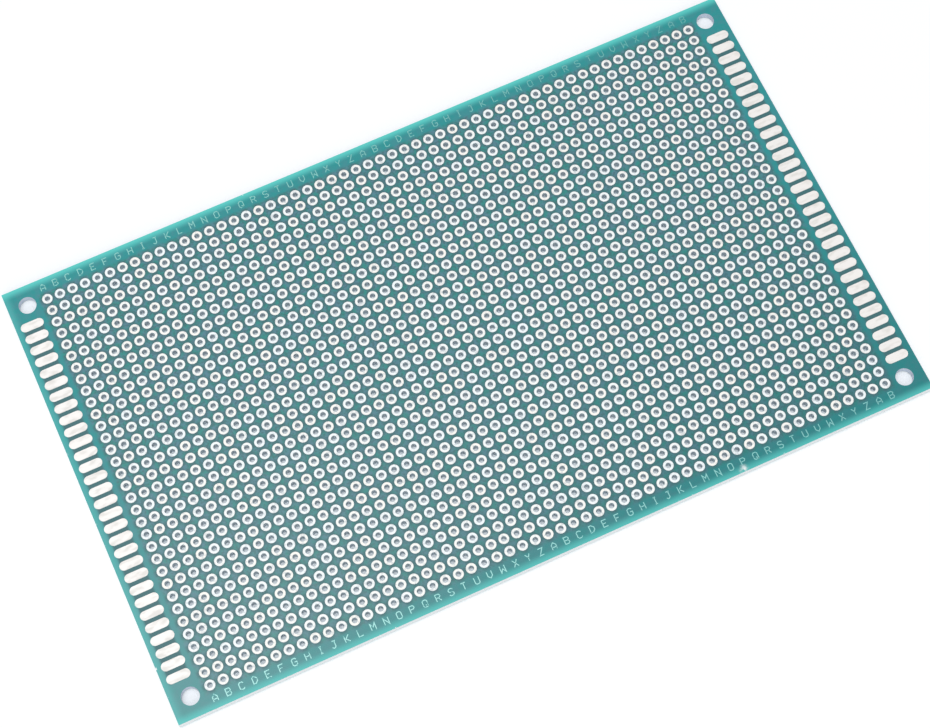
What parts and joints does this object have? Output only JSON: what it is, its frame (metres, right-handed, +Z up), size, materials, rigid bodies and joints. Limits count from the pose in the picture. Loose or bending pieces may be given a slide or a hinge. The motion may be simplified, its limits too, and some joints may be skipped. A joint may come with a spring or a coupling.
{
  "type": "prototype board",
  "caption": "Flat rectangular prototype circuit board with a square grid of plated-through solder pads, edge contacts at both short ends and a mounting hole in each corner.",
  "frame": {"origin": "middle of the corner-hole pattern on the substrate's lower face, where standoffs bear", "axes": "+X along the board's length, +Y across its width, +Z up through its thickness"},
  "size_m": [0.15, 0.09, 0.0016],
  "materials": {
    "solder_mask": "teal solder mask over glass-fibre laminate, satin",
    "tinned_pads": "bright tinned copper",
    "tinned_contacts": "bright tinned copper, slightly warm"
  },
  "bodies": {
    "root": {"substrate": "solder_mask", "pad_row_01": "tinned_pads", "pad_row_02": "tinned_pads", "pad_row_03": "tinned_pads", "pad_row_04": "tinned_pads", "pad_row_05": "tinned_pads", "pad_row_06": "tinned_pads", "pad_row_07": "tinned_pads", "pad_row_08": "tinned_pads", "pad_row_09": "tinned_pads", "pad_row_10": "tinned_pads", "pad_row_11": "tinned_pads", "pad_row_12": "tinned_pads", "pad_row_13": "tinned_pads", "pad_row_14": "tinned_pads", "pad_row_15": "tinned_pads", "pad_row_16": "tinned_pads", "pad_row_17": "tinned_pads", "pad_row_18": "tinned_pads", "pad_row_19": "tinned_pads", "pad_row_20": "tinned_pads", "pad_row_21": "tinned_pads", "pad_row_22": "tinned_pads", "pad_row_23": "tinned_pads", "pad_row_24": "tinned_pads", "pad_row_25": "tinned_pads", "pad_row_26": "tinned_pads", "pad_row_27": "tinned_pads", "pad_row_28": "tinned_pads", "pad_row_29": "tinned_pads", "pad_row_30": "tinned_pads", "pad_row_31": "tinned_pads", "pad_row_32": "tinned_pads", "pad_row_33": "tinned_pads", "contacts_left_top": "tinned_contacts", "contacts_left_bottom": "tinned_contacts", "contacts_right_top": "tinned_contacts", "contacts_right_bottom": "tinned_contacts"}
  },
  "joints": []
}
